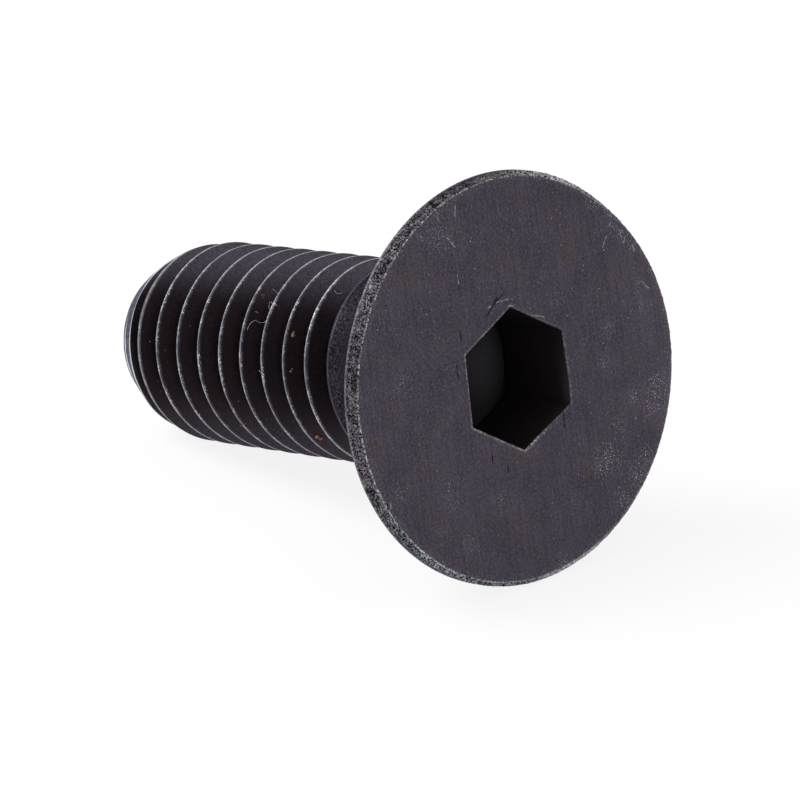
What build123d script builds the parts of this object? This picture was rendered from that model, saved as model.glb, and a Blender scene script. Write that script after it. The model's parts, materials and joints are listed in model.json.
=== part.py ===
from build123d import *
import os
from math import atan, ceil, cos, degrees, pi, radians, sin, tan

# A countersunk (flat-head) socket screw: one piece of steel, headed, broached and thread-rolled.
# It is drawn with its axis upright, head face at z = 0 and the point below, and then laid down
# as it comes to rest, on the back edge of the head's rim and on one of the last thread crests.
# All sizes are in millimetres, and depths are measured from the head's face along the axis.
# Angles about the axis are in degrees, and 0 is the side that ends up underneath.

# ---- driving sizes -----------------------------------------------------------------------
HEAD_DIAMETER = 18.5              # over the rim
HEAD_ANGLE = 82.0                 # included angle of the conical seat
RIM_HEIGHT = 0.69                 # short cylinder between the face and the seat
RIM_BEVEL = 0.22                  # worn edge between the face and the rim, both ways
SEAT_FILLET_RADIUS = 0.9          # where the seat runs into the neck

SCREW_LENGTH = 24.64              # head face to end face
NECK_DIAMETER = 9.25              # plain shank under the head
NECK_LENGTH = 1.42                # from the seat's corner to where the groove starts
LEAD_LENGTH = 1.63                # where the crests taper gently before the chamfered end
LEAD_DROP = 0.38                  # how far the crests drop over that length
POINT_LENGTH = 1.63               # chamfered end of the shank
POINT_DIAMETER = 7.0              # end face

THREAD_DIAMETER = 9.43            # over the crests: 3/8 inch, less the usual allowance
THREAD_PITCH = 1.5875             # right-hand: 16 turns to the inch
FLANK_ANGLE = 60.0                # included angle of the groove
BLEND_TURNS = 1.5                 # turns in which the crests rise from the neck's diameter
RUN_OUT_TURNS = 0.6               # turns in which the groove deepens from nothing
GROOVE_START_ANGLE = 128.5        # where round the screw the groove starts

SOCKET_ACROSS_FLATS = 5.556       # for a 7/32 inch key
SOCKET_DEPTH = 4.3                # full hexagon
SOCKET_POINT_ANGLE = 120.0        # included angle of the conical bottom
SOCKET_MOUTH_CHAMFER = 0.09       # edge break round the hexagon's mouth
SOCKET_CORNER_ANGLE = -2.5        # where one of the hexagon's corners points

SEGMENT_TURNS = 1.0               # the groove is cut by segments this long
SEGMENT_SPANS = 12                # spans of the curves that bound a segment
CUTTER_CLEARANCE = 0.09           # how far the groove's cutters stand out of the crests

# ---- sizes that follow -------------------------------------------------------------------
head_r = HEAD_DIAMETER / 2
neck_r = NECK_DIAMETER / 2
crest_r = THREAD_DIAMETER / 2
crest_flat = THREAD_PITCH / 8
root_flat = THREAD_PITCH / 6
flank_slope = tan(radians(FLANK_ANGLE / 2))
groove_depth = (THREAD_PITCH - crest_flat - root_flat) / (2 * flank_slope)
root_r = crest_r - groove_depth
seat_end = RIM_HEIGHT + (head_r - neck_r) / tan(radians(HEAD_ANGLE / 2))
groove_start = seat_end + NECK_LENGTH
blend_end = groove_start + BLEND_TURNS * THREAD_PITCH
point_r = POINT_DIAMETER / 2
point_start = SCREW_LENGTH - POINT_LENGTH
lead_start = point_start - LEAD_LENGTH
lead_r = crest_r - LEAD_DROP


def make_blank():
    """The screw before its socket and thread, as one revolved outline."""
    outline = FilletPolyline(
        (0, 0),
        (head_r - RIM_BEVEL, 0),
        (head_r, -RIM_BEVEL),
        (head_r, -RIM_HEIGHT),
        (neck_r, -seat_end),
        (neck_r, -groove_start),
        (crest_r, -blend_end),
        (crest_r, -lead_start),
        (lead_r, -point_start),
        (point_r, -SCREW_LENGTH),
        (0, -SCREW_LENGTH),
        radius=[0, 0, 0, SEAT_FILLET_RADIUS, 0, 0, 0, 0, 0],
    )
    section = make_face(outline + Line(outline @ 1, outline @ 0))
    return revolve(Plane.YZ * section, axis=Axis.Z)


def make_socket():
    """The hexagonal recess with its drilled, conical bottom, as a solid to cut away."""
    flat_r = SOCKET_ACROSS_FLATS / 2
    hexagon = RegularPolygon(flat_r, 6, major_radius=False, rotation=SOCKET_CORNER_ANGLE)
    prism = extrude(hexagon, -SOCKET_DEPTH)
    cone_height = flat_r / tan(radians(SOCKET_POINT_ANGLE / 2))
    point = Pos(0, 0, -SOCKET_DEPTH - cone_height) * Cone(
        0, flat_r, cone_height, align=(Align.CENTER, Align.CENTER, Align.MIN)
    )
    return prism + point


def groove_point(radius, below, turn):
    """A point on an edge of the groove's cutter, this many turns from the groove's start."""
    left = max(0.0, 1 - turn / RUN_OUT_TURNS)
    lifted = radius + (groove_depth + CUTTER_CLEARANCE) * left**2
    angle = radians(GROOVE_START_ANGLE) - 2 * pi * turn
    depth = groove_start + turn * THREAD_PITCH + below
    return Vector(lifted * cos(angle), lifted * sin(angle), -depth)


def groove_edge(radius, below, first_turn):
    """One long edge of the cutter over one segment."""
    turns = [first_turn + SEGMENT_TURNS * i / SEGMENT_SPANS for i in range(SEGMENT_SPANS + 1)]
    return Spline(*[groove_point(radius, below, t) for t in turns]).edge()


def make_groove_cutters():
    """The thread's V groove as short helical solids end to end, lifted out at the neck."""
    mouth_r = crest_r + CUTTER_CLEARANCE
    mouth_half = root_flat / 2 + (mouth_r - root_r) * flank_slope
    corners = [
        (root_r, -root_flat / 2),
        (root_r, root_flat / 2),
        (mouth_r, mouth_half),
        (mouth_r, -mouth_half),
    ]
    turns = (SCREW_LENGTH - groove_start) / THREAD_PITCH + 1
    cutters = []
    for segment in range(ceil(turns / SEGMENT_TURNS)):
        edges = [groove_edge(r, below, segment * SEGMENT_TURNS) for r, below in corners]
        neighbours = edges[1:] + edges[:1]
        sides = [Face.make_surface_from_curves(a, b) for a, b in zip(edges, neighbours)]
        ends = [Face(Wire.make_polygon([e @ at for e in edges])) for at in (0, 1)]
        cutters.append(Solid(Shell(sides + ends)))
    return cutters


def crest_radius(depth):
    """Radius over the crests, which drops towards the end."""
    if depth <= lead_start:
        return crest_r
    if depth <= point_start:
        return crest_r - LEAD_DROP * (depth - lead_start) / LEAD_LENGTH
    return lead_r - (lead_r - point_r) * (depth - point_start) / POINT_LENGTH


def lay_down(screw):
    """Lays the screw on its side and puts the middle of its underside at the origin."""
    first_crest = groove_start + THREAD_PITCH * (GROOVE_START_ANGLE / 360 + 0.5)
    count = ceil((SCREW_LENGTH - first_crest) / THREAD_PITCH)
    crests = [first_crest + THREAD_PITCH * turn for turn in range(count)]
    touching = [c + share * crest_flat for c in crests for share in (-0.5, 0, 0.5)]
    touching = [depth for depth in touching if blend_end < depth < SCREW_LENGTH]
    slopes = [(head_r - crest_radius(depth)) / (depth - RIM_HEIGHT) for depth in touching]
    laid = Rot(0, 90 - degrees(atan(min(slopes))), 0) * screw
    box = laid.bounding_box()
    return Pos(-box.center().X, -box.center().Y, -box.min.Z) * laid


blank = make_blank() - make_socket()
mouth = blank.faces().filter_by(Axis.Z).sort_by(Axis.Z)[-1].inner_wires()[0].edges()
screw = chamfer(mouth, SOCKET_MOUTH_CHAMFER) - make_groove_cutters()
screw = lay_down(screw).solid()
screw.label = "screw"

os.makedirs("parts", exist_ok=True)
export_step(screw, "parts/screw.step")
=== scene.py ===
import json
import math

import bmesh
import bpy
import numpy as np
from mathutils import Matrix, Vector


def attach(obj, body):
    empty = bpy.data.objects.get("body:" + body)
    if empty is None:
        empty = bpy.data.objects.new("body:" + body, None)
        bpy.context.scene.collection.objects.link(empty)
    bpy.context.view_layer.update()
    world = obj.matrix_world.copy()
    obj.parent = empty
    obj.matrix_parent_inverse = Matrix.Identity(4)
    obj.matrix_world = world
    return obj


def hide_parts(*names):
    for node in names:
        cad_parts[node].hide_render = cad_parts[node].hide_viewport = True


# The looks of a countersunk (flat-head) socket screw in blackened steel, built round the packed
# model. The screw's skin is worked out in its own frame, in millimetres: angles run about the
# axis, with 0 on the side that it lies on, and depths run down the axis from the head's face.

MM = 0.001
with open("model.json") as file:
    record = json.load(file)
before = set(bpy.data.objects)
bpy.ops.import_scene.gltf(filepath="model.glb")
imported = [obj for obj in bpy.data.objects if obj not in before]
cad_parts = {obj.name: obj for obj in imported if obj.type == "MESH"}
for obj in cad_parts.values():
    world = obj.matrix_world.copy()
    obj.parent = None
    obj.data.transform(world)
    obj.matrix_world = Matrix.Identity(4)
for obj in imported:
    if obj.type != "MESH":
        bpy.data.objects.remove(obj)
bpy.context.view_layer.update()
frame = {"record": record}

# ---- sizes, as in the CAD source ---------------------------------------------------------
HEAD_R = 9.25
RIM_HEIGHT = 0.69
RIM_BEVEL = 0.22
HALF_HEAD_ANGLE = math.radians(41)
SEAT_FILLET = 0.9
NECK_R = 4.625
NECK_LENGTH = 1.42
SCREW_LENGTH = 24.64
LEAD_LENGTH = 1.63
LEAD_DROP = 0.38
POINT_LENGTH = 1.63
POINT_R = 3.5
PITCH = 1.5875
CREST_R = 4.715
ROOT_FLAT = PITCH / 6
CREST_FLAT = PITCH / 8
FLANK_SLOPE = math.tan(math.radians(30))
BLEND_TURNS = 1.5
RUN_OUT_TURNS = 0.6
RUN_OUT_CLEARANCE = 0.09          # how far the groove is lifted out of the neck at its start
GROOVE_ANGLE = 128.5
HEX_FLAT_R = 5.556 / 2
HEX_CORNER_ANGLE = -2.5
SOCKET_DEPTH = 4.3
HALF_DRILL_ANGLE = math.radians(60)

# ---- sizes that follow ---------------------------------------------------------------------
FACE_R = HEAD_R - RIM_BEVEL
SEAT_END = RIM_HEIGHT + (HEAD_R - NECK_R) / math.tan(HALF_HEAD_ANGLE)
GROOVE_START = SEAT_END + NECK_LENGTH
BLEND_END = GROOVE_START + BLEND_TURNS * PITCH
POINT_START = SCREW_LENGTH - POINT_LENGTH
LEAD_START = POINT_START - LEAD_LENGTH
LEAD_R = CREST_R - LEAD_DROP
GROOVE_DEPTH = (PITCH - ROOT_FLAT - CREST_FLAT) / (2 * FLANK_SLOPE)
ROOT_R = CREST_R - GROOVE_DEPTH
SHANK_TOP = SEAT_END - 0.75       # all below it is finished as shank
NECK_GRAIN_TOP = SEAT_END + 0.75  # where the neck turns from smooth to grainy

# ---- how finely the skin is divided -----------------------------------------------------
FACE_COLUMNS = 360
RIM_COLUMNS = 900
THREAD_COLUMNS = 200
FACE_RINGS = 22
RIM_ROW = 0.055                   # between two rings of the rim
FILLET_RINGS = 7
HELIX_TOP = GROOVE_START - 0.35   # where the helical rows take over from the rings
CREST_BLEND = 0.015               # rounding between the groove's flanks and the crests
CONE_INSET = 0.02                 # the socket's cone stops this short of its walls
SHARP_DEGREES = 38                # edges turned by more than this are shaded sharp
# rings of the socket's cone and of the end face, as shares of their radius
CONE_SHARES = (0.12, 0.4, 0.7, 1.0)
END_SHARES = (0.8, 0.55, 0.3)
WALL_DEPTHS = (SOCKET_DEPTH, SOCKET_DEPTH - 0.05, 3.0, 2.2, 1.5, 1.0, 0.6, 0.35, 0.2, 0.1)
# rings round the hexagon's mouth: out from its flats, depth
MOUTH_RINGS = ((0.012, 0.055), (0.04, 0.018), (0.085, 0.0), (0.16, 0.0), (0.28, 0.0))
# rings down the seat, as shares of the way from the rim to the neck
SEAT_SHARES = (0.02, 0.04, 0.08, 0.15, 0.25, 0.37, 0.5, 0.63, 0.75, 0.84)
# rows across one pitch, as shares of it from the groove's middle
THREAD_ROWS = [0, .06, .09, .15, .2, .25, .3, .34, .37, .395, .415, .4375, .455, .475,
               .495, .515, .535, .552, .5625, .575, .6, .64, .7, .77, .84, .91, .94]

# ---- wear and marks, in mm and degrees about the axis --------------------------------------
RUBBED_SIDE_ANGLE = 134.0         # where the rim is rubbed flat
RUBBED_SIDE_WIDTH = 24.0
RUBBED_SIDE_DEPTH = 0.2
WORN_LIP_ANGLE = 66.0             # where the hexagon's mouth is worn wider
WORN_LIP_WIDTH = 38.0
WORN_LIP_DEPTH = 0.13
LIT_BACK_ANGLE = -98.0         # where the painted highlight on the rim's back edge is strongest
LIT_BACK_WIDTH = 26.0
CHIP_ANGLE = -65.4                # a small chip in the rim's front edge
CHIP_WIDTH = 1.1
CHIP_DEPTH = 0.13
# where the rim's bevel is worn pale, with a painted highlight along it, at its top right and at
# the bottom: angle, width
WORN_LIT_BEVELS = ((152.0, 20.0), (12.0, 14.0))
# how deep the grain and the nicks go
RIM_GRAIN_DEPTH = 0.02
CREST_GRAIN_DEPTH = 0.002
CREST_NICK_DEPTH = 0.016
POINT_GRAIN_DEPTH = 0.012
NECK_GRAIN_DEPTH = 0.008
EDGE_GRAIN_DEPTH = 0.006
# patches of whitish speckle on the face: to the right, up, radius, strength
SPECKLED = [(7.9, -2.2, 0.6, 1.0), (7.5, -3.2, 0.5, 0.8), (6.7, -5.2, 0.4, 0.8),
            (6.1, -5.9, 0.6, 1.0), (4.5, -4.8, 0.7, 1.0), (5.0, -6.8, 0.4, 1.0),
            (5.0, -0.5, 0.3, 0.8), (6.4, -2.4, 0.35, 0.8), (5.3, -3.4, 0.4, 0.6),
            (5.4, 0.9, 0.35, 0.6), (-3.3, 7.2, 1.0, 0.45), (-6.3, 1.4, 0.5, 0.55),
            (5.7, 6.7, 0.35, 0.8), (6.5, 5.9, 0.35, 0.7), (7.2, 5.2, 0.25, 0.5),
            (2.7, 2.9, 0.35, 0.45), (7.4, 1.55, 0.4, 0.5), (7.6, 2.4, 0.4, 0.4),
            (-7.4, -3.2, 0.5, 0.5), (-4.8, -3.5, 0.5, 0.35), (-4.4, -4.4, 0.6, 0.4),
            (-4.0, -6.6, 0.6, 0.35), (-1.9, -5.1, 0.6, 0.3), (-5.5, -5.7, 0.5, 0.3),
            (2.3, -6.2, 0.4, 0.35), (3.9, -5.2, 0.35, 0.5), (1.0, -8.6, 0.4, 0.5),
            (7.05, 4.9, 0.3, 0.9), (7.5, 4.3, 0.3, 0.7), (6.5, 5.5, 0.25, 0.8)]
# scratches on the face: right and up of the one end, then of the other
PALE_SCRATCHES = [((-2.87, 7.04), (-2.48, 6.54)), ((-2.16, 8.35), (-2.29, 7.62)),
                  ((-4.3, 7.51), (-4.23, 7.27)), ((-3.24, 8.38), (-3.2, 7.92)),
                  ((-2.58, 5.31), (-2.6, 4.91)), ((-0.93, 3.56), (-0.51, 3.64)),
                  ((-0.51, 3.64), (0.05, 3.6)), ((1.18, 2.66), (1.89, 2.34)),
                  ((-0.95, 3.56), (-1.15, 3.5)), ((0.01, 3.32), (0.29, 3.27)),
                  ((6.09, 5.04), (5.76, 4.58)), ((7.76, 2.58), (8.15, 2.18)),
                  ((-8.02, -3.6), (-8.0, -3.7)), ((-8.0, -3.7), (-8.03, -3.86)),
                  ((-8.03, -3.86), (-8.2, -3.94)), ((6.85, 5.3), (6.95, 4.85)),
                  ((7.2, 4.85), (7.0, 4.55)), ((7.55, 4.35), (7.6, 4.0))]
DARK_NICKS = [((-2.87, 2.91), (-2.87, 2.41)), ((-3.33, 1.44), (-3.35, 0.86)),
              ((-0.54, 3.83), (-1.3, 3.15)), ((2.27, -2.2), (2.23, -2.79)),
              ((-1.3, -3.71), (-1.29, -3.92)), ((-2.04, -3.02), (-2.07, -3.33)),
              ((-0.16, 3.97), (-0.76, 3.57)), ((-8.18, -3.6), (-8.14, -3.85))]
SCRATCH_WIDTH = 0.035
NICK_WIDTH = 0.05


# ---- noise and soft steps ---------------------------------------------------------------------
def lattice_noise(points, per_mm, seed):
    """Smooth noise from -1 to 1 at these points, with this many lumps to the millimetre."""
    q = np.asarray(points, float) * per_mm + 1000.0
    cell = np.floor(q).astype(np.int64)
    f = q - cell
    f = f * f * (3 - 2 * f)
    total = np.zeros(len(q))
    for corner in range(8):
        step = np.array([corner & 1, corner >> 1 & 1, corner >> 2 & 1])
        c = cell + step
        # large primes scatter the cells, so that each corner gets a value of its own
        h = (c[:, 0] * 73856093 ^ c[:, 1] * 19349663 ^ c[:, 2] * 83492791 ^ seed * 2654435761)
        h = (h ^ h >> 13) * 1274126177 & 0x7FFFFFFF
        h = h ^ h >> 16
        weight = np.prod(np.where(step, f, 1 - f), axis=1)
        total += weight * (h % 65536) / 32767.5
    return total - 1


def smooth_step(low, high, x):
    t = np.clip((x - low) / (high - low), 0, 1)
    return t * t * (3 - 2 * t)


def smooth_min(a, b, blend):
    h = np.clip(0.5 + 0.5 * (b - a) / blend, 0, 1)
    return b + (a - b) * h - blend * h * (1 - h)


def bell(x, middle, width):
    return np.exp(-(((x - middle) / width) ** 2))


def band(x, low, high, soft):
    """1 where x is between low and high, falling to 0 over soft on both sides."""
    return smooth_step(low - soft, low, x) * (1 - smooth_step(high, high + soft, x))


# ---- the skin, as rings of (angle, radius, depth) -----------------------------------------
class Skin:
    """Points as (angle in radians, radius, depth), and the faces that join them."""

    def __init__(self):
        self.points = []
        self.faces = []

    def add(self, angle, radius, depth):
        angle, radius, depth = np.broadcast_arrays(
            np.asarray(angle, float), np.asarray(radius, float), np.asarray(depth, float)
        )
        first = len(self.points)
        self.points.extend(zip(angle.tolist(), radius.tolist(), depth.tolist()))
        return np.arange(first, len(self.points))

    def join(self, a, b):
        """Faces between two closed rings that run the same way round."""
        if len(a) == len(b):
            a2, b2 = np.roll(a, -1), np.roll(b, -1)
            self.faces.extend(zip(a.tolist(), a2.tolist(), b2.tolist(), b.tolist()))
            return
        turn = 2 * math.pi
        pa = np.array([self.points[i][0] for i in a]) % turn
        pb = np.array([self.points[i][0] for i in b]) % turn
        a, pa = a[np.argsort(pa)].tolist(), np.sort(pa).tolist()
        b, pb = b[np.argsort(pb)].tolist(), np.sort(pb).tolist()
        a, pa = a + [a[0]], pa + [pa[0] + turn]
        b, pb = b + [b[0]], pb + [pb[0] + turn]
        i = j = 0
        while i < len(a) - 1 or j < len(b) - 1:
            if j == len(b) - 1 or (i < len(a) - 1 and pa[i + 1] <= pb[j + 1]):
                self.faces.append((a[i], a[i + 1], b[j]))
                i += 1
            else:
                self.faces.append((a[i], b[j + 1], b[j]))
                j += 1

    def grow(self, ring, angle, radius, depth):
        """Adds a ring, joins it to the last one and returns it."""
        grown = self.add(angle, radius, depth)
        self.join(ring, grown)
        return grown

    def cap(self, ring, centre):
        c = centre[0]
        for p, q in zip(ring.tolist(), np.roll(ring, -1).tolist()):
            self.faces.append((p, q, int(c)))


def column_angles(count, start_deg=HEX_CORNER_ANGLE):
    return math.radians(start_deg) + np.arange(count) * 2 * math.pi / count


def hexagon_radius(angle, flat_r):
    sixth = math.pi / 3
    from_corner = (angle - math.radians(HEX_CORNER_ANGLE)) % sixth
    return flat_r / np.cos(from_corner - sixth / 2)


def worn_lip(angles, depth):
    """How far wear widens the hexagon's mouth at this depth."""
    worn = bell(np.degrees(angles), WORN_LIP_ANGLE, WORN_LIP_WIDTH)
    return WORN_LIP_DEPTH * worn * (1 - smooth_step(0.08, 0.45, depth))


def add_socket(skin, angles):
    """From the bottom of the drilled cone up the walls to the mouth. Returns the top ring."""
    cone_r = HEX_FLAT_R - CONE_INSET
    cone_height = cone_r / math.tan(HALF_DRILL_ANGLE)
    tip = skin.add([0.0], [0.0], [SOCKET_DEPTH + cone_height])
    coarse = column_angles(FACE_COLUMNS // 4)
    inmost, *outward = CONE_SHARES
    ring = skin.add(coarse, cone_r * inmost, SOCKET_DEPTH + cone_height * (1 - inmost))
    skin.cap(ring, tip)
    for share in outward:
        ring = skin.grow(ring, coarse, cone_r * share, SOCKET_DEPTH + cone_height * (1 - share))
    wall = hexagon_radius(angles, HEX_FLAT_R)
    for depth in WALL_DEPTHS:
        ring = skin.grow(ring, angles, wall + worn_lip(angles, depth), depth)
    return ring


def add_face(skin, angles, ring):
    """From the hexagon's mouth out to the rim's bevel."""
    for offset, depth in MOUTH_RINGS:
        start = hexagon_radius(angles, HEX_FLAT_R + offset) + worn_lip(angles, depth)
        ring = skin.grow(ring, angles, start, depth)
    full_circle = HEX_FLAT_R * 1.35   # from here outwards the rings are round
    for share in (0.5, 1.0):
        ring = skin.grow(ring, angles, start + (full_circle - start) * share, 0.0)
    for radius in np.linspace(full_circle, FACE_R - 0.12, FACE_RINGS)[1:]:
        ring = skin.grow(ring, angles, radius, 0.0)
    return ring


def add_rim_and_seat(skin, angles, ring):
    """Round the rim and down the conical seat to the neck."""
    fine = column_angles(RIM_COLUMNS)
    side_r = HEAD_R - 0.002
    outline = [(FACE_R - 0.05, 0.0), (FACE_R, 0.004)]
    outline += [(FACE_R + RIM_ROW * i, RIM_ROW * i) for i in (1, 2, 3)]
    outline += [(HEAD_R - 0.004, RIM_BEVEL)]
    rows = np.arange(RIM_BEVEL + 0.05, RIM_HEIGHT - 0.05, RIM_ROW)
    outline += [(side_r, depth) for depth in rows]
    outline += [(side_r, RIM_HEIGHT - 0.02), (HEAD_R - 0.02, RIM_HEIGHT + 0.02)]
    for radius, depth in outline:
        ring = skin.grow(ring, fine, radius, depth)
    for share in SEAT_SHARES:
        radius = HEAD_R + (NECK_R - HEAD_R) * share
        depth = RIM_HEIGHT + (SEAT_END - RIM_HEIGHT) * share
        ring = skin.grow(ring, angles if share > SEAT_SHARES[0] else fine, radius, depth)
    coarse = column_angles(THREAD_COLUMNS)
    back = SEAT_FILLET * math.tan(HALF_HEAD_ANGLE / 2)
    for left in np.linspace(HALF_HEAD_ANGLE, 0, FILLET_RINGS):
        radius = NECK_R + SEAT_FILLET * (1 - math.cos(left))
        depth = SEAT_END + back - SEAT_FILLET * math.sin(left)
        ring = skin.grow(ring, coarse, radius, depth)
    return ring


# ---- the thread ---------------------------------------------------------------------------
def shank_radius(depth):
    """Radius of the shank where it isn't grooved, carried on a little past its end."""
    beyond = 3.0
    slope = (LEAD_R - POINT_R) / POINT_LENGTH
    stations = [0, GROOVE_START, BLEND_END, LEAD_START, POINT_START, SCREW_LENGTH + beyond]
    radii = [NECK_R, NECK_R, CREST_R, CREST_R, LEAD_R, POINT_R - beyond * slope]
    return np.interp(depth, stations, radii)


def groove_phase(angle, depth):
    """How many pitches below the groove's nearest middle a point lies, and the groove's turns."""
    below = (depth - GROOVE_START) / PITCH
    first = (math.radians(GROOVE_ANGLE) - angle) / (2 * math.pi)
    phase = (below - first + 0.5) % 1.0 - 0.5
    return phase, below - phase


def groove_radius(angle, depth):
    """Radius of the groove's walls and bottom, which lie outside the shank where it isn't cut."""
    phase, turns = groove_phase(angle, depth)
    flank = np.abs(phase) * PITCH - ROOT_FLAT / 2
    left = np.clip(1 - turns / RUN_OUT_TURNS, 0, 1)
    lifted = (GROOVE_DEPTH + RUN_OUT_CLEARANCE) * left**2
    return ROOT_R + np.maximum(flank, 0) / FLANK_SLOPE + lifted


def thread_radius(angle, depth):
    return smooth_min(groove_radius(angle, depth), shank_radius(depth), CREST_BLEND)


def helical_sheet():
    """The thread's rows, wound round a unit cylinder and cut off at both ends."""
    pitches = range(-2, math.ceil((SCREW_LENGTH - GROOVE_START) / PITCH) + 1)
    rows = np.array([k + share for k in pitches for share in THREAD_ROWS])
    bm = bmesh.new()
    grid = []
    for i in range(THREAD_COLUMNS):
        angle = math.radians(GROOVE_ANGLE) - 2 * math.pi * i / THREAD_COLUMNS
        x, y = math.cos(angle), math.sin(angle)
        depths = GROOVE_START + (rows + i / THREAD_COLUMNS) * PITCH
        grid.append([bm.verts.new((x, y, -d)) for d in depths])
    # a full turn leads one pitch further down, so the last column meets the first one there
    grid.append(grid[0][len(THREAD_ROWS):])
    for here, there in zip(grid, grid[1:]):
        for j in range(min(len(here), len(there)) - 1):
            bm.faces.new((here[j], here[j + 1], there[j + 1], there[j]))
    for depth, sign in ((HELIX_TOP, 1), (SCREW_LENGTH, -1)):
        bmesh.ops.bisect_plane(
            bm, geom=bm.verts[:] + bm.edges[:] + bm.faces[:], dist=1e-5,
            plane_co=(0, 0, -depth), plane_no=(0, 0, sign), clear_outer=True,
        )
    bm.verts.index_update()
    return bm


def add_thread(skin, ring):
    """The helical part of the shank, joined to ring. Returns the ring at the end face."""
    bm = helical_sheet()
    co = np.array([v.co for v in bm.verts])
    angle, depth = np.arctan2(co[:, 1], co[:, 0]), -co[:, 2]
    ids = skin.add(angle, thread_radius(angle, depth), depth)
    skin.faces.extend(tuple(int(ids[v.index]) for v in f.verts) for f in bm.faces)
    open_ends = sorted({v.index for e in bm.edges if e.is_boundary for v in e.verts})
    bm.free()
    skin.join(ring, np.array([ids[i] for i in open_ends if depth[i] < HELIX_TOP + 0.01]))
    return np.array([ids[i] for i in open_ends if depth[i] > SCREW_LENGTH - 0.01])


def add_end_face(skin, ring):
    coarse = column_angles(THREAD_COLUMNS // 2, 0)
    for share in END_SHARES:
        ring = skin.grow(ring, coarse, POINT_R * share, SCREW_LENGTH)
    skin.cap(ring, skin.add([0.0], [0.0], [SCREW_LENGTH]))


def make_skin():
    skin = Skin()
    angles = column_angles(FACE_COLUMNS)
    ring = add_socket(skin, angles)
    ring = add_face(skin, angles, ring)
    ring = add_rim_and_seat(skin, angles, ring)
    ring = skin.grow(ring, column_angles(THREAD_COLUMNS), NECK_R, HELIX_TOP - 0.25)
    ring = add_thread(skin, ring)
    add_end_face(skin, ring)
    return skin


# ---- from the screw's frame to the row frame ------------------------------------------------
def mount(name):
    return next(m for m in frame["record"]["mounts"] if m["name"] == name)


AXIS = np.array(mount("hex_socket")["axis"])
FACE_CENTRE = np.array(mount("hex_socket")["pos_m"])
UNDER = np.array([AXIS[2], 0.0, -AXIS[0]])
SIDE = np.array([0.0, 1.0, 0.0])


def laid(points):
    """Points (x, y, depth) of the screw's frame, in mm, as metres in the row frame."""
    p = np.asarray(points, float) * MM
    return FACE_CENTRE + p[:, :1] * UNDER + p[:, 1:2] * SIDE - p[:, 2:] * AXIS


def new_mesh_object(name, coords, faces):
    mesh = bpy.data.meshes.new(name)
    mesh.from_pydata([tuple(c) for c in coords], [], faces)
    mesh.update()
    piece = bpy.data.objects.new(name, mesh)
    bpy.context.scene.collection.objects.link(piece)
    return piece


# ---- which kind of surface lies where -------------------------------------------------------
# what each stored attribute holds, one kind of surface, or where light is painted, in each of its
# values
SURFACE_KINDS = {
    "shank_kinds": ("groove", "crest", "bright"),
    "end_kinds": ("cone", "neck", "upper"),
    "wall_kinds": ("land", "rolled", "chafed"),
    "edge_kinds": ("front", "back", "mouth"),
    "head_kinds": ("rim", "socket", "seat"),
    "worn_kinds": ("speckled", "rubbed"),
}


def shank_masks(angle, radius, depth):
    """The kinds of surface from the neck to the end face."""
    on_shank = depth > SHANK_TOP
    threaded = on_shank * (depth > GROOVE_START - 0.2)
    cone = on_shank * smooth_step(POINT_START - 0.12, POINT_START + 0.05, depth)

    # how far the groove is cut in, and where across a crest the point lies
    phase, turns = groove_phase(angle, depth)
    cut = smooth_step(0.05, 0.4, np.where(phase > 0, turns, turns - 1))
    cut_above = smooth_step(0.0, 0.25, turns)
    land = groove_radius(angle, depth) - shank_radius(depth)
    standing = smooth_step(-0.005, 0.015, land)
    to_tip = np.where(phase > 0, phase - 0.5, phase + 0.5) * PITCH
    half_flat = CREST_FLAT / 2
    before_end = to_tip < half_flat + 0.01
    crest = smooth_step(-half_flat - 0.03, -half_flat + 0.05, to_tip) * before_end
    bright = smooth_step(-0.02, 0.05, to_tip) * before_end
    ridge = threaded * cut * (1 - cone)

    # painted light: the top of the shank is painted lighter, as lit from above, and so, more
    # weakly, is the underside
    rise = -np.cos(angle) * radius / radius.clip(0.1)
    upper = smooth_step(0.64, 1.1, rise) + 0.48 * smooth_step(0.2, 1.05, -rise)
    return {
        "groove": threaded * (1 - standing) * (1 - crest * cut * (1 - cone)),
        "crest": ridge * crest,
        "bright": ridge * bright,
        "cone": cone,
        "land": np.where(threaded, np.clip(land, -0.3, 0.3), 0.3),
        "neck": on_shank * (1 - cone) * (1 - cut_above) * (land > -0.005),
        "rolled": smooth_step(NECK_GRAIN_TOP, NECK_GRAIN_TOP + 0.15, depth),
        "upper": upper,
    }


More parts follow.
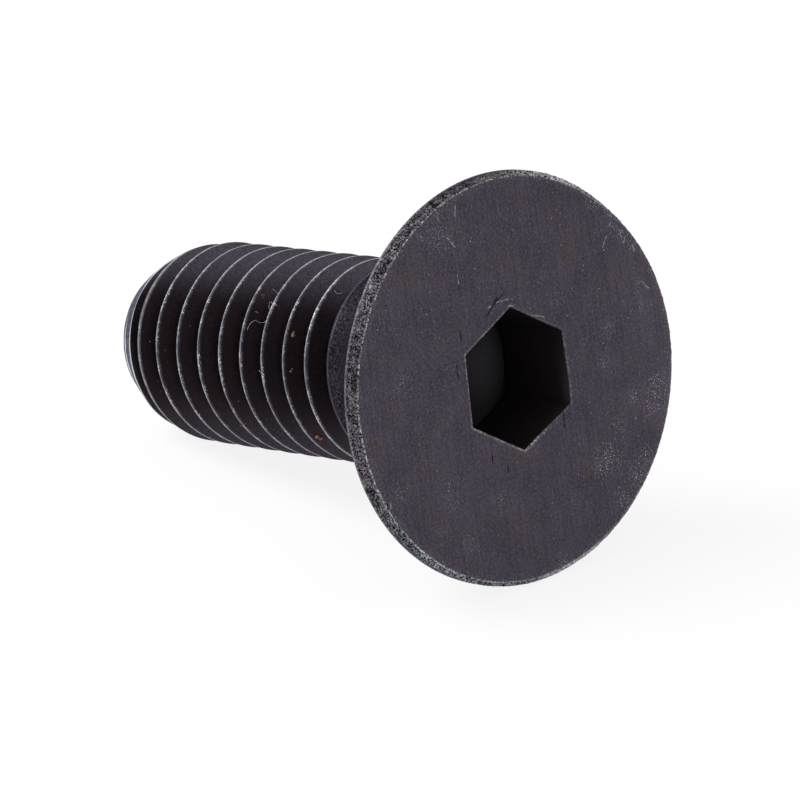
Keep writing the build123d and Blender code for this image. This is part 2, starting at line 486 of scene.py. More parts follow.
def head_masks(angle, radius, depth):
    """The kinds of surface on the head and in its socket."""
    degrees = np.degrees(angle)
    right, up = radius * np.sin(angle), -radius * np.cos(angle)
    before_shank = depth <= SHANK_TOP
    on_face = (depth < 0.06) & (radius > HEX_FLAT_R)
    patches = [s * bell(np.hypot(right - x, up - y), 0, size) for x, y, size, s in SPECKLED]
    sprayed = 0.4 * smooth_step(FACE_R - 0.4, FACE_R, radius)

    # the worn line round the hexagon's mouth is painted brighter as a highlight, faint at its
    # right and bright at its left
    off_hexagon = (radius - worn_lip(angle, 0.0)) / hexagon_radius(angle, 1.0) - HEX_FLAT_R
    lit_from_left = smooth_step(-0.5, 0.4, (-0.9 * right - 0.3 * up) / radius.clip(0.1))
    mouth_line = (0.15 + 0.7 * lit_from_left) * band(off_hexagon, 0.0, 0.06, 0.05)

    front_line = band(radius, FACE_R - 0.02, FACE_R + 0.01, 0.03)
    back_line = band(depth, RIM_HEIGHT - 0.075, RIM_HEIGHT + 0.06, 0.03)
    bevel = band(radius, FACE_R - 0.02, HEAD_R, 0.05) * (depth < RIM_BEVEL + 0.02)
    # the bevel's pale streaks are wear with a painted highlight along them
    worn_bevel = sum(bell(degrees, middle, width) for middle, width in WORN_LIT_BEVELS)
    return {
        "rim": (radius > FACE_R - 0.02) * band(depth, 0.0, RIM_HEIGHT, 0.02),
        "front": (depth < 0.2) * front_line,
        "back": (radius > HEAD_R - 0.2) * back_line,
        "chafed": bell(degrees, LIT_BACK_ANGLE, LIT_BACK_WIDTH),
        "mouth": on_face * mouth_line,
        "socket": (radius < HEX_FLAT_R * 1.17) * smooth_step(0.03, 0.15, depth) * before_shank,
        "seat": (radius > NECK_R) * smooth_step(RIM_HEIGHT, RIM_HEIGHT + 0.1, depth),
        "speckled": on_face * np.clip(np.sum(patches, axis=0) + sprayed, 0, 1),
        "rubbed": bevel * worn_bevel,
    }


def inward_push(at, angle, masks):
    """How far wear takes the skin in at each point, in mm."""

    def rough(per_mm, seed):
        return lattice_noise(at, per_mm, seed) + 1

    grain = 0.6 * lattice_noise(at, 9.0, seed=3) + 0.4 * lattice_noise(at, 17.0, seed=4)
    nicks = smooth_step(0.55, 0.95, lattice_noise(at, 2.5, seed=6))
    push = masks["rim"] * RIM_GRAIN_DEPTH * (grain + 1)
    push += masks["crest"] * (CREST_GRAIN_DEPTH * rough(3.0, seed=5) + CREST_NICK_DEPTH * nicks)
    push += masks["cone"] * POINT_GRAIN_DEPTH * rough(4.5, seed=9) * (masks["land"] > 0.01)
    push += masks["neck"] * NECK_GRAIN_DEPTH * rough(3.5, seed=10)
    push += (masks["front"] + masks["mouth"]) * EDGE_GRAIN_DEPTH * rough(5.0, seed=7)
    chip = bell(np.degrees(angle), CHIP_ANGLE, CHIP_WIDTH)
    return push + CHIP_DEPTH * chip * np.clip(masks["front"] + masks["rim"], 0, 1)


def store(mesh, name, columns):
    """Keeps up to three values at each vertex, for the material to read."""
    values = np.zeros((len(mesh.vertices), 3), np.float32)
    values[:, :len(columns)] = np.column_stack(columns)
    mesh.attributes.new(name, "FLOAT_VECTOR", "POINT").data.foreach_set("vector", values.ravel())


def outward_normals(mesh):
    """Turns all the faces outwards and gives the normal at each vertex."""
    bm = bmesh.new()
    bm.from_mesh(mesh)
    bmesh.ops.recalc_face_normals(bm, faces=bm.faces[:])
    bm.to_mesh(mesh)
    bm.free()
    normals = np.zeros(len(mesh.vertices) * 3, np.float32)
    mesh.vertices.foreach_get("normal", normals)
    return normals.reshape(-1, 3).astype(float)


def make_screw():
    skin = make_skin()
    angle, radius, depth = np.array(skin.points).T
    masks = {**shank_masks(angle, radius, depth), **head_masks(angle, radius, depth)}
    outer = smooth_step(HEAD_R - 0.6, HEAD_R - 0.1, radius)
    rubbed_side = bell(np.degrees(angle), RUBBED_SIDE_ANGLE, RUBBED_SIDE_WIDTH)
    radius = radius - RUBBED_SIDE_DEPTH * rubbed_side * outer
    points = np.column_stack([radius * np.cos(angle), radius * np.sin(angle), depth])
    piece = new_mesh_object("screw_skin", laid(points), skin.faces)
    mesh = piece.data

    at = points * [1, 1, -1]
    push = inward_push(at, angle, masks)[:, None] * MM
    coords = laid(points) - outward_normals(mesh) * push
    mesh.vertices.foreach_set("co", coords.astype(np.float32).ravel())
    mesh.update()

    store(mesh, "screw_mm", list(at.T))
    for name, kinds in SURFACE_KINDS.items():
        store(mesh, name, [masks[kind] for kind in kinds])
    mesh.shade_smooth()
    mesh.set_sharp_from_angle(angle=math.radians(SHARP_DEGREES))
    return piece


# ---- materials ----------------------------------------------------------------------------
class Graph:
    """The node tree of a material or a world, with short ways to add and link nodes."""

    def __init__(self, owner):
        self.owner = owner
        owner.use_nodes = True
        self.tree = owner.node_tree
        self.tree.nodes.clear()

    def node(self, kind, inputs=None, **settings):
        made = self.tree.nodes.new(kind)
        for key, value in settings.items():
            setattr(made, key, value)
        for key, value in (inputs or {}).items():
            socket = made.inputs[key]
            if isinstance(value, bpy.types.NodeSocket):
                self.tree.links.new(value, socket)
            else:
                socket.default_value = value
        return made

    def attribute(self, name):
        return self.node("ShaderNodeAttribute", attribute_name=name).outputs["Vector"]

    def split(self, vector):
        return list(self.node("ShaderNodeSeparateXYZ", {0: vector}).outputs)

    def math(self, operation, a, b=0.0, clamp=False):
        made = self.node("ShaderNodeMath", {0: a, 1: b}, operation=operation, use_clamp=clamp)
        return made.outputs[0]

    def times(self, a, b):
        return self.math("MULTIPLY", a, b)

    def larger(self, a, b):
        return self.math("MAXIMUM", a, b)

    def vector_math(self, operation, inputs):
        made = self.node("ShaderNodeVectorMath", inputs, operation=operation)
        return made.outputs["Value" if operation in ("DOT_PRODUCT", "DISTANCE") else "Vector"]

    def noise(self, vector, scale, detail=2.0, rough=0.5):
        made = self.node(
            "ShaderNodeTexNoise",
            {"Vector": vector, "Scale": scale, "Detail": detail, "Roughness": rough},
        )
        return made.outputs["Fac"]

    def wobble(self, vector, scale, size):
        """A small vector that wanders to all sides, in the units of size."""
        made = self.node("ShaderNodeTexNoise", {"Vector": vector, "Scale": scale})
        inputs = {0: made.outputs["Color"], 1: (0.5, 0.5, 0.5)}
        centred = self.vector_math("SUBTRACT", inputs)
        return self.vector_math("SCALE", {0: centred, "Scale": size})

    def stretched(self, vector, scale, turn):
        made = self.node("ShaderNodeMapping", {"Vector": vector, "Scale": scale})
        made.inputs["Rotation"].default_value = (0, 0, math.radians(turn))
        return made.outputs[0]

    def span(self, value, low, high, to_low=0.0, to_high=1.0):
        """Value from low..high stretched to to_low..to_high, held at the ends."""
        made = self.node(
            "ShaderNodeMapRange",
            {"Value": value, "From Min": low, "From Max": high, "To Min": to_low,
             "To Max": to_high},
        )
        return made.outputs[0]

    def mix(self, share, a, b):
        """Colour a where share is 0, and colour b where it is 1."""
        made = self.node("ShaderNodeMix", data_type="RGBA", blend_type="MIX")
        for index, value in ((0, share), (6, a), (7, b)):
            socket = made.inputs[index]
            if isinstance(value, bpy.types.NodeSocket):
                self.tree.links.new(value, socket)
            else:
                socket.default_value = value if index == 0 else (*value, 1.0)
        return made.outputs[2]

    def stroke(self, at, start, end, width):
        """1 on a straight stroke between two points of the face, in mm."""
        (x0, y0), (x1, y1) = start, end
        along = (y0 - y1, x1 - x0, 0.0)
        length = math.hypot(x1 - x0, y1 - y0)
        from_start = self.vector_math("SUBTRACT", {0: at, 1: (-y0, x0, 0.0)})
        reach = self.vector_math("DOT_PRODUCT", {0: from_start, 1: along})
        share = self.math("DIVIDE", reach, length * length, clamp=True)
        nearest = self.vector_math("SCALE", {0: along, "Scale": share})
        away = self.vector_math("DISTANCE", {0: from_start, 1: nearest})
        return self.span(away, width * 0.3, width, 1.0, 0.0)

    def strokes(self, at, ends, width):
        total = self.stroke(at, *ends[0], width)
        for start, end in ends[1:]:
            total = self.larger(total, self.stroke(at, start, end, width))
        return total

    def finish(self, shader, output="ShaderNodeOutputMaterial"):
        self.node(output, {"Surface": shader})
        return self.owner


def material_graph(name):
    return Graph(bpy.data.materials.new(name))


# ---- the black oxide finish -----------------------------------------------------------------
# The numbers of a noise are its scale, in lumps to the millimetre, its detail and its roughness.
# Those of a span are the two values between which it rises, and the shares it rises from and to.

# the face
FACE_DARK, FACE_LIGHT = (0.056, 0.048, 0.067), (0.090, 0.076, 0.104)
BROWN_PATCH = (0.084, 0.068, 0.068)
FACE_STREAK = (0.038, 0.033, 0.045)
GRAIN_LIGHT, GRAIN_DARK = (0.15, 0.135, 0.165), (0.022, 0.019, 0.027)
FACE_SPECK = (0.7, 0.68, 0.7)
# painted shade for the face's bottom, and a painted sheen for its right side
FACE_BOTTOM_SHADE, FACE_RIGHT_SHEEN = (0.03, 0.026, 0.034), (0.16, 0.14, 0.165)
SALTED_PATCH = (0.66, 0.63, 0.66)
PALE_SCRATCH = (0.32, 0.30, 0.33)
DARK_NICK = (0.012, 0.010, 0.013)
SEAT_SHADE = (0.028, 0.025, 0.032)
# the thread
# painted shade: the groove's colour, kept far below the face's so that the groove reads shaded
GROOVE_SHADE_DARK, GROOVE_SHADE_LIGHT = (0.0152, 0.0103, 0.0128), (0.0235, 0.0163, 0.02)
# painted light for the top of the shank and, more weakly, its underside
LIT_SHANK_DARK, LIT_SHANK_LIGHT = (0.038, 0.033, 0.044), (0.145, 0.125, 0.165)
GROOVE_FLECK = (0.14, 0.12, 0.13)
CREST_DARK, CREST_LIGHT = (0.013, 0.009, 0.011), (0.072, 0.054, 0.058)
CREST_FLASH = (0.62, 0.6, 0.62)
# the bare crest edges are painted lighter towards the top, as painted light
BARE_SIDE, BARE_TOP_LIT, BARE_FLASH = (0.47, 0.52, 0.62), (0.95, 0.96, 1.0), (0.9, 0.9, 0.92)
# the chamfered point and the end face
POINT_DARK, POINT_LIGHT = (0.022, 0.022, 0.028), (0.21, 0.22, 0.27)
END_DARK, END_LIGHT = (0.04, 0.035, 0.045), (0.088, 0.078, 0.096)
POINT_EDGE = (0.8, 0.83, 0.92)
# the neck and the socket
NECK_DARK, NECK_LIGHT = (0.0045, 0.0038, 0.0055), (0.066, 0.059, 0.074)
NECK_SMOOTH = (0.023, 0.02, 0.028)
SOCKET_WALL = (0.044, 0.032, 0.036)
# painted light and shade on the socket's drilled floor: lit at the top, shaded at the bottom, in
# clouds and towards the right
SOCKET_FLOOR_LIT, SOCKET_FLOOR_SHADE = (0.0175, 0.014, 0.019), (0.004, 0.003, 0.004)
SOCKET_FLOOR_CLOUD, SOCKET_FLOOR_SIDE_SHADE = (0.008, 0.006, 0.008), (0.005, 0.004, 0.005)
# the rim and the edges
PEPPER = (0.0075, 0.0062, 0.0085)
# painted glints on the rim's grain, paler and bluer towards the bottom
RIM_GLINT_TOP, RIM_GLINT_BOTTOM = (0.275, 0.25, 0.285), (0.46, 0.49, 0.54)
WORN_EDGE = (0.78, 0.74, 0.79)
# a painted highlight along the rim's back edge
BACK_EDGE_HIGHLIGHT = (0.93, 0.95, 1.0)
# what the metal's reflections at a glancing angle are tinted with
PLAIN_TINT, RIM_TINT = (1.0, 1.0, 1.0), (0.42, 0.39, 0.44)
NECK_TINT, POINT_TINT = (0.46, 0.45, 0.5), (0.42, 0.42, 0.45)


class Surface:
    """What the parts of the finish share: the place, in mm, the kinds of surface, and noises."""

    def __init__(self, g):
        self.at = g.attribute("screw_mm")
        self.under, self.side, self.height = g.split(self.at)
        for name, kinds in SURFACE_KINDS.items():
            for kind, value in zip(kinds, g.split(g.attribute(name))):
                setattr(self, kind, value)
        self.grain = g.noise(self.at, 9.0, 4.0, 0.8)
        self.fine = g.noise(self.at, 6.0, 3.0, 0.7)


def face_colour(g, s):
    """The satin face: mottled, faintly streaked, with brownish patches and light specks, and
    painted shade towards its bottom and a painted sheen towards its right.
    """
    mottled = g.span(g.noise(s.at, 0.5, 5.0, 0.78), 0.35, 0.65)
    colour = g.mix(mottled, FACE_DARK, FACE_LIGHT)
    brown = g.span(g.noise(s.at, 0.45, 5.0, 0.8), 0.5, 0.66, 0.0, 0.9)
    colour = g.mix(brown, colour, BROWN_PATCH)
    streaks = g.noise(g.stretched(s.at, (0.3, 6.0, 1.0), turn=4.0), 1.0, 3.0, 0.6)
    colour = g.mix(g.span(streaks, 0.4, 0.65, 0.0, 0.45), colour, FACE_STREAK)
    colour = g.mix(g.span(s.grain, 0.5, 0.7, 0.0, 0.7), colour, GRAIN_LIGHT)
    colour = g.mix(g.span(s.grain, 0.5, 0.3, 0.0, 0.7), colour, GRAIN_DARK)
    large_specks = g.span(g.noise(s.at, 6.0, 2.0, 0.6), 0.735, 0.77)
    small_specks = g.span(g.noise(s.at, 10.0, 2.0, 0.6), 0.725, 0.755)
    colour = g.mix(g.larger(large_specks, small_specks), colour, FACE_SPECK)
    # painted shade towards the bottom of the face, then a painted sheen near its right edge
    colour = g.mix(g.span(s.under, 0.5, 8.0, 0.0, 0.2), colour, FACE_BOTTOM_SHADE)
    return g.mix(g.span(s.side, 5.5, 9.0, 0.0, 0.12), colour, FACE_RIGHT_SHEEN)


def marked_colour(g, s, colour):
    """Whitish speckle in patches, scratches and nicks on the face, and the seat's shade."""
    salted = g.times(s.speckled, g.span(g.noise(s.at, 14.0, 2.0, 0.6), 0.58, 0.66))
    salted = g.times(salted, g.span(g.noise(s.at, 3.5, 2.0, 0.6), 0.42, 0.56, 0.3, 1.0))
    colour = g.mix(salted, colour, SALTED_PATCH)
    shaky = g.vector_math("ADD", {0: s.at, 1: g.wobble(s.at, 2.5, 0.16)})
    ragged = g.span(g.noise(s.at, 4.0, 3.0, 0.7), 0.35, 0.5)
    scratches = g.times(g.strokes(shaky, PALE_SCRATCHES, SCRATCH_WIDTH), ragged)
    colour = g.mix(scratches, colour, PALE_SCRATCH)
    colour = g.mix(g.strokes(shaky, DARK_NICKS, NICK_WIDTH), colour, DARK_NICK)
    return g.mix(g.times(s.seat, 0.45), colour, SEAT_SHADE)


def thread_colour(g, s, colour):
    """Painted shade makes the groove nearly black, painted light brightens the shank's top and,
    more weakly, its underside, and the crests are rubbed bright along their outer edges.
    """
    # painted shade in the groove
    groove_shade = g.mix(g.span(s.fine, 0.3, 0.75), GROOVE_SHADE_DARK, GROOVE_SHADE_LIGHT)
    # painted light on the top of the shank and, more weakly, its underside
    lit_shank = g.mix(g.span(s.grain, 0.3, 0.7), LIT_SHANK_DARK, LIT_SHANK_LIGHT)
    flecks = g.span(g.noise(s.at, 6.5, 2.0, 0.6), 0.7, 0.76, 0.0, 0.5)
    groove = g.mix(flecks, g.mix(s.upper, groove_shade, lit_shank), GROOVE_FLECK)
    colour = g.mix(s.groove, colour, groove)

    blotch = g.noise(s.at, 1.6, 4.0, 0.7)
    flashes = g.span(g.noise(s.at, 13.0, 2.0, 0.7), 0.53, 0.6)
    flashes = g.times(flashes, g.span(blotch, 0.47, 0.58))
    dull = g.mix(g.span(s.grain, 0.45, 0.7), CREST_DARK, CREST_LIGHT)
    dull = g.mix(flashes, dull, CREST_FLASH)
    # the crests take the painted light towards the top too
    colour = g.mix(s.crest, colour, g.mix(g.times(s.upper, 0.5), dull, lit_shank))

    flecked = g.span(g.noise(s.at, 8.0, 3.0, 0.75), 0.5, 0.62, 0.5, 1.0)
    worn = g.times(s.bright, flecked)
    worn = g.times(worn, g.span(blotch, 0.35, 0.58, 0.55, 1.0))
    # bare crest edges, painted lighter towards the top
    bare = g.mix(flashes, g.mix(s.upper, BARE_SIDE, BARE_TOP_LIT), BARE_FLASH)
    return g.mix(worn, colour, bare)


def point_colour(g, s, colour, standing, edge_line):
    """The grainy chamfered point, with a light line where the groove cuts it, and the end face."""
    grainy = g.span(g.noise(s.at, 7.5, 3.0, 0.8), 0.42, 0.58)
    end_face = g.span(s.height, 0.04 - SCREW_LENGTH, 0.01 - SCREW_LENGTH, 0.0, 0.8)
    point = g.mix(end_face, g.mix(grainy, POINT_DARK, POINT_LIGHT),
                  g.mix(grainy, END_DARK, END_LIGHT))
    colour = g.mix(standing, colour, point)
    return g.mix(edge_line, colour, POINT_EDGE)


def neck_and_socket_colour(g, s, colour):
    """The neck, smooth beside the seat and grainy where it was rolled, and the socket, whose
    drilled floor is painted lit at the top and painted shade towards the bottom and the right.
    """
    skin = g.mix(g.span(s.grain, 0.42, 0.62), NECK_DARK, NECK_LIGHT)
    colour = g.mix(s.neck, colour, g.mix(s.rolled, NECK_SMOOTH, skin))
    # painted light and shade on the socket's floor: lit at the top, shaded towards the bottom, in
    # clouds and towards the right side
    socket_floor_light = g.mix(g.span(s.under, 0.2, 2.0), SOCKET_FLOOR_LIT, SOCKET_FLOOR_SHADE)
    clouds = g.span(g.noise(s.at, 0.9, 2.0, 0.5), 0.45, 0.7, 0.0, 0.4)
    socket_floor_light = g.mix(clouds, socket_floor_light, SOCKET_FLOOR_CLOUD)
    socket_floor_light = g.mix(g.span(s.side, 1.7, 2.6, 0.0, 0.85), socket_floor_light, SOCKET_FLOOR_SIDE_SHADE)
    bottom = g.span(s.height, 0.2 - SOCKET_DEPTH, 0.02 - SOCKET_DEPTH)
    return g.mix(s.socket, colour, g.mix(bottom, SOCKET_WALL, socket_floor_light))


def rim_colour(g, s, colour):
    """Salt and pepper: the pale specks are painted glints on the rim's grain, painted paler and
    bluer towards the bottom.
    """
    clumps = g.span(g.noise(s.at, 2.6, 3.0, 0.7), 0.35, 0.65, -0.035, 0.035)
    clumped = g.math("ADD", g.noise(s.at, 12.0, 3.0, 0.8), clumps)
    patchy = g.span(g.noise(s.at, 1.3, 2.0, 0.6), 0.36, 0.5, 0.55, 1.0)
    # painted glints on the rim's grain
    salt = g.times(g.span(clumped, 0.47, 0.62), patchy)
    salty = g.mix(g.span(s.under, 2.0, 6.0), RIM_GLINT_TOP, RIM_GLINT_BOTTOM)
    return g.mix(s.rim, colour, g.mix(salt, PEPPER, salty))


def edge_colour(g, s, colour, lit_back):
    """The rim's worn front edge, the hexagon's worn mouth and bevel, partly painted as highlights,
    and a painted highlight along the rim's back edge.
    """
    dotted = g.span(g.noise(s.at, 10.0, 2.0, 0.7), 0.44, 0.56)
    broken = g.span(g.noise(s.at, 3.6, 4.0, 0.75), 0.42, 0.54)
    front = g.times(g.times(g.times(s.front, 0.8), dotted), broken)
    beaded = g.span(g.noise(s.at, 12.0, 2.0, 0.7), 0.47, 0.6, 0.1, 1.0)
    fading = g.span(g.noise(s.at, 2.2, 3.0, 0.7), 0.4, 0.56, 0.3, 1.0)
    mouth = g.times(g.times(s.mouth, beaded), fading)
    # the pale bevel: wear with a painted highlight
    bevel = g.times(s.rubbed, g.span(dotted, 0.3, 0.9))
    edges = g.larger(g.larger(front, mouth), bevel)
    return g.mix(lit_back, g.mix(edges, colour, WORN_EDGE), BACK_EDGE_HIGHLIGHT)


def black_oxide_steel():
    g = material_graph("black_oxide_steel")
    s = Surface(g)
    standing = g.times(s.cone, g.span(s.land, -0.005, 0.015))
    off_line = g.math("ABSOLUTE", g.math("SUBTRACT", s.land, 0.02))
    point_line = g.times(s.cone, g.span(off_line, 0.03, 0.06, 0.95, 0.0))
    # a painted highlight along the rim's back edge, strongest on its left side
    lit_back = g.times(s.back, g.span(s.fine, 0.35, 0.5, 0.35, 0.95))
    lit_back = g.times(lit_back, g.span(s.chafed, 0.0, 1.0, 0.15, 1.0))

    colour = marked_colour(g, s, face_colour(g, s))
    colour = thread_colour(g, s, colour)
    colour = point_colour(g, s, colour, standing, point_line)
    colour = neck_and_socket_colour(g, s, colour)
    colour = rim_colour(g, s, colour)
    colour = edge_colour(g, s, colour, lit_back)

    tint = g.mix(s.rim, PLAIN_TINT, RIM_TINT)
    tint = g.mix(s.neck, tint, NECK_TINT)
    tint = g.mix(standing, tint, POINT_TINT)
    tint = g.mix(g.larger(point_line, lit_back), tint, PLAIN_TINT)
    relief = g.times(g.noise(s.at, 8.0, 3.0, 0.7), g.span(s.rim, 0.0, 1.0, 0.3, 1.6))
    bump = g.node("ShaderNodeBump", {"Strength": 0.4, "Distance": 0.00003, "Height": relief})
    shader = g.node(
        "ShaderNodeBsdfPrincipled",
        {"Base Color": colour, "Metallic": g.span(s.socket, 0.0, 1.0, 1.0, 0.7),
         "Roughness": g.span(s.fine, 0.2, 0.8, 0.34, 0.5), "Specular Tint": tint,
         "Normal": bump.outputs[0]},
    )
    return g.finish(shader.outputs[0])


# ---- lint and specks ------------------------------------------------------------------------
PALE_FIBRE, RED_FIBRE = (0.42, 0.39, 0.43), (0.30, 0.08, 0.14)
FIBRE_RADIUS = 0.0085
FIBRE_SIDES = 6
FIBRE_STEPS = 5                   # between two of the points below
# fibres caught in the thread: colour, then (degrees about the axis, radius, depth) along each
FIBRES = [
    (PALE_FIBRE, [(-117.6, 4.62, 13.88), (-119.9, 4.6, 13.87), (-122.0, 4.55, 13.84),
                  (-124.1, 4.46, 13.78), (-124.2, 4.35, 13.72), (-124.1, 4.18, 13.62),
                  (-125.0, 4.07, 13.56), (-126.2, 4.12, 13.4)]),
    (PALE_FIBRE, [(-129.0, 4.53, 13.87), (-129.4, 4.47, 13.83), (-129.1, 4.4, 13.79)]),
    (PALE_FIBRE, [(-138.0, 4.1, 13.5), (-139.3, 4.13, 13.66), (-138.6, 4.17, 13.68),
                  (-137.3, 4.15, 13.67), (-135.4, 4.1, 13.64), (-134.0, 4.02, 13.58)]),
    (PALE_FIBRE, [(-146.8, 4.35, 13.84), (-147.0, 4.23, 13.77), (-147.0, 4.14, 13.72),
                  (-146.7, 4.08, 13.66)]),
    (PALE_FIBRE, [(-148.8, 4.6, 9.23), (-148.2, 4.48, 9.15), (-149.0, 4.37, 9.09),
                  (-151.0, 4.31, 9.07)]),
    (PALE_FIBRE, [(-94.6, 4.73, 12.3), (-95.3, 4.76, 12.45), (-96.1, 4.74, 12.62)]),
    (PALE_FIBRE, [(-81.0, 4.73, 12.3), (-79.6, 4.76, 12.34), (-78.2, 4.73, 12.42)]),
    (RED_FIBRE, [(-56.6, 4.68, 15.76), (-57.4, 4.75, 15.6), (-58.6, 4.78, 15.37),
                 (-59.6, 4.76, 15.16), (-60.0, 4.7, 15.05)]),
]
SPECK_STRETCH = [1.0, 1.2, 0.7]
# specks: colour, size, and (degrees about the axis, radius, depth)
SPECKS = [
    ((0.19, 0.14, 0.10), 0.17, (-118.0, 4.5, 10.64)),
    ((0.16, 0.12, 0.085), 0.1, (-119.6, 4.5, 10.64)),
    ((0.16, 0.12, 0.085), 0.1, (-97.3, 4.5, 10.55)),
    ((0.13, 0.11, 0.075), 0.07, (-98.6, 4.44, 10.52)),
    ((0.33, 0.13, 0.055), 0.19, (-54.0, 4.52, 10.36)),
    ((0.27, 0.11, 0.05), 0.17, (-51.6, 4.47, 10.32)),
    ((0.28, 0.26, 0.27), 0.07, (-133.9, 4.65, 12.4)),
    ((0.22, 0.20, 0.21), 0.045, (-139.6, 4.55, 13.93)),
    ((0.20, 0.17, 0.17), 0.05, (-140.6, 4.5, 13.9)),
    ((0.18, 0.16, 0.17), 0.045, (-139.0, 4.48, 13.88)),
    ((0.16, 0.15, 0.15), 0.04, (-140.2, 4.6, 13.94)),
    ((0.13, 0.14, 0.17), 0.06, (-103.7, 4.23, 21.53)),
]


def polar(point):
    degrees, radius, depth = point
    turn = math.radians(degrees)
    return (radius * math.cos(turn), radius * math.sin(turn), depth)


def paint_and_ride(piece, colour):
    g = material_graph(piece.name + "_paint")
    shader = g.node("ShaderNodeBsdfPrincipled", {"Base Color": (*colour, 1.0), "Roughness": 0.8})
    piece.data.materials.append(g.finish(shader.outputs[0]))
    piece.data.shade_smooth()
    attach(piece, "root")


def smooth_path(points, steps):
    """A curve through all the points, as closely spaced points."""
    p = np.array([points[0], *points, points[-1]])
    out = []
    for i in range(1, len(p) - 2):
        for t in np.arange(steps) / steps:
            tangent_a, tangent_b = (p[i + 1] - p[i - 1]) / 2, (p[i + 2] - p[i]) / 2
            out.append((2 * t**3 - 3 * t**2 + 1) * p[i] + (t**3 - 2 * t**2 + t) * tangent_a
                       + (3 * t**2 - 2 * t**3) * p[i + 1] + (t**3 - t**2) * tangent_b)
    return np.array(out + [p[-2]])


def make_fibre(name, colour, points):
    """A thin tube along a smooth path, closed at both ends."""
    path = smooth_path([polar(p) for p in points], FIBRE_STEPS)
    along = np.gradient(path, axis=0)
    along /= np.linalg.norm(along, axis=1)[:, None]
    across = np.cross(along, [0.3, 0.2, 1.0])
    across /= np.linalg.norm(across, axis=1)[:, None]
    third = np.cross(along, across)
    sides = FIBRE_SIDES
    turns = (np.arange(sides) * 2 * math.pi / sides)[:, None]
    rings = path[:, None] + FIBRE_RADIUS * (across[:, None] * np.cos(turns)
                                            + third[:, None] * np.sin(turns))
    faces = [tuple(range(sides))[::-1]]
    for i in range(len(path) - 1):
        for k in range(sides):
            a, b = i * sides + k, i * sides + (k + 1) % sides
            faces.append((a, b, b + sides, a + sides))
    faces.append(tuple(range((len(path) - 1) * sides, len(path) * sides)))
    paint_and_ride(new_mesh_object(name, laid(rings.reshape(-1, 3)), faces), colour)


def make_speck(name, colour, size, point):
    """A small lumpy crumb."""
    bm = bmesh.new()
    bmesh.ops.create_icosphere(bm, subdivisions=2, radius=1.0)
    ball = np.array([v.co for v in bm.verts])
    faces = [tuple(v.index for v in f.verts) for f in bm.faces]
    bm.free()
    lumps = 1 + 0.45 * lattice_noise(ball + np.array(polar(point)), 1.6, seed=12)
    points = ball * lumps[:, None] * size * 0.5 * SPECK_STRETCH + polar(point)
    paint_and_ride(new_mesh_object(name, laid(points), faces), colour)


# ---- stage, light and camera ----------------------------------------------------------------
FLOOR_HALF = 0.6                  # metres
FLOOR_DARK, FLOOR_LIGHT = (0.9, 0.9, 0.9), (0.93, 0.93, 0.93)
FLOOR_GLOW = 0.86                 # share of the floor's white that doesn't depend on the light
SKY_ON_OBJECT, SKY_SHOWN = 0.75, 1.0
KEY_PLACE, KEY_TARGET = (-120, -160, 260), (0, 0, 6)
KEY_SIZE, KEY_WATTS = 180, 0.9
# the photograph's view, as the fit to its outlines gave it
CAMERA_AZIMUTH, CAMERA_ELEVATION = 49.9379, 22.2583
CAMERA_FROM_FACE = (180.268, -158.414, 97.193)
CAMERA_LENS, CAMERA_SENSOR = 264.24, 36.0
CAMERA_CLIP = 0.01, 5.0           # metres


def make_floor():
    """A pale floor that mostly glows to the camera, so that the shadow on it stays faint."""
    h = FLOOR_HALF
    corners = [(-h, -h, 0), (h, -h, 0), (h, h, 0), (-h, h, 0)]
    floor = new_mesh_object("floor", corners, [(0, 1, 2, 3)])
    g = material_graph("pale_floor")
    speckle = g.noise(g.node("ShaderNodeTexCoord").outputs["Object"], 60.0, 2.0)
    paint = g.mix(g.span(speckle, 0.3, 0.7), FLOOR_DARK, FLOOR_LIGHT)
    matt = g.node("ShaderNodeBsdfDiffuse", {"Color": paint}).outputs[0]
    glow = g.node("ShaderNodeEmission", {"Strength": 1.0}).outputs[0]
    shown = g.node("ShaderNodeMixShader", {0: FLOOR_GLOW, 1: matt, 2: glow}).outputs[0]
    path = g.node("ShaderNodeLightPath").outputs
    seen = g.larger(path["Is Camera Ray"], path["Is Glossy Ray"])
    seen = g.larger(seen, path["Is Transmission Ray"])
    either = g.node("ShaderNodeMixShader", {0: seen, 1: matt, 2: shown}).outputs[0]
    floor.data.materials.append(g.finish(either))


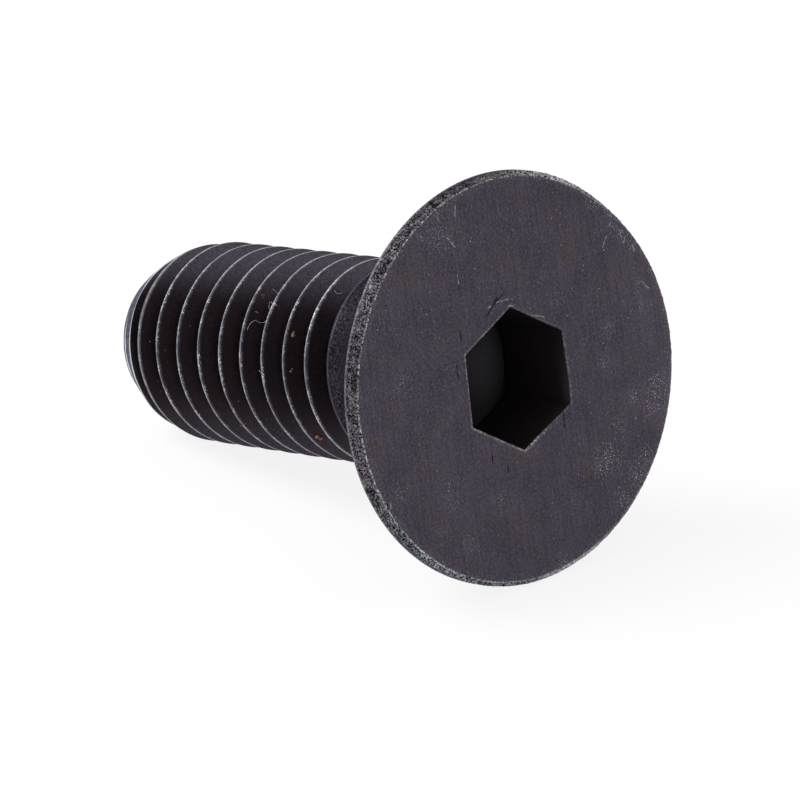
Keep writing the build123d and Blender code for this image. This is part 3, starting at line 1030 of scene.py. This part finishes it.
def make_world():
    """A plain white sky, a little weaker as a light than as it shows."""
    world = bpy.data.worlds.new("studio")
    bpy.context.scene.world = world
    g = Graph(world)
    path = g.node("ShaderNodeLightPath").outputs
    seen = g.larger(path["Is Camera Ray"], path["Is Glossy Ray"])
    strength = g.span(seen, 0.0, 1.0, SKY_ON_OBJECT, SKY_SHOWN)
    sky = g.node("ShaderNodeBackground", {"Strength": strength})
    g.finish(sky.outputs[0], "ShaderNodeOutputWorld")


def place_in_scene(name, data, place, direction):
    """Adds a lamp or a camera at this place, in metres, that looks in this direction."""
    made = bpy.data.objects.new(name, data)
    bpy.context.scene.collection.objects.link(made)
    made.location = place
    made.rotation_euler = direction.to_track_quat("-Z", "Y").to_euler()
    return made


def make_key_lamp():
    data = bpy.data.lights.new("key", "AREA")
    data.shape = "DISK"
    data.size = KEY_SIZE * MM
    data.energy = KEY_WATTS
    place, target = Vector(KEY_PLACE) * MM, Vector(KEY_TARGET) * MM
    place_in_scene("key", data, place, target - place)


def make_camera():
    azimuth, elevation = math.radians(CAMERA_AZIMUTH), math.radians(CAMERA_ELEVATION)
    back = Vector((
        math.sin(azimuth) * math.cos(elevation),
        -math.cos(azimuth) * math.cos(elevation),
        math.sin(elevation),
    ))
    data = bpy.data.cameras.new("camera")
    data.sensor_width = CAMERA_SENSOR
    data.lens = CAMERA_LENS
    data.clip_start, data.clip_end = CAMERA_CLIP
    place = Vector(FACE_CENTRE) + Vector(CAMERA_FROM_FACE) * MM
    bpy.context.scene.camera = place_in_scene("camera", data, place, -back)


# ---- the scene ------------------------------------------------------------------------------
screw = make_screw()
screw.data.materials.append(black_oxide_steel())
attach(screw, "root")
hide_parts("screw")
for number, (colour, points) in enumerate(FIBRES, 1):
    make_fibre(f"fibre_{number}", colour, points)
for number, (colour, size, point) in enumerate(SPECKS, 1):
    make_speck(f"speck_{number}", colour, size, point)

make_floor()
make_world()
make_key_lamp()
make_camera()
bpy.context.scene.view_settings.view_transform = "Standard"
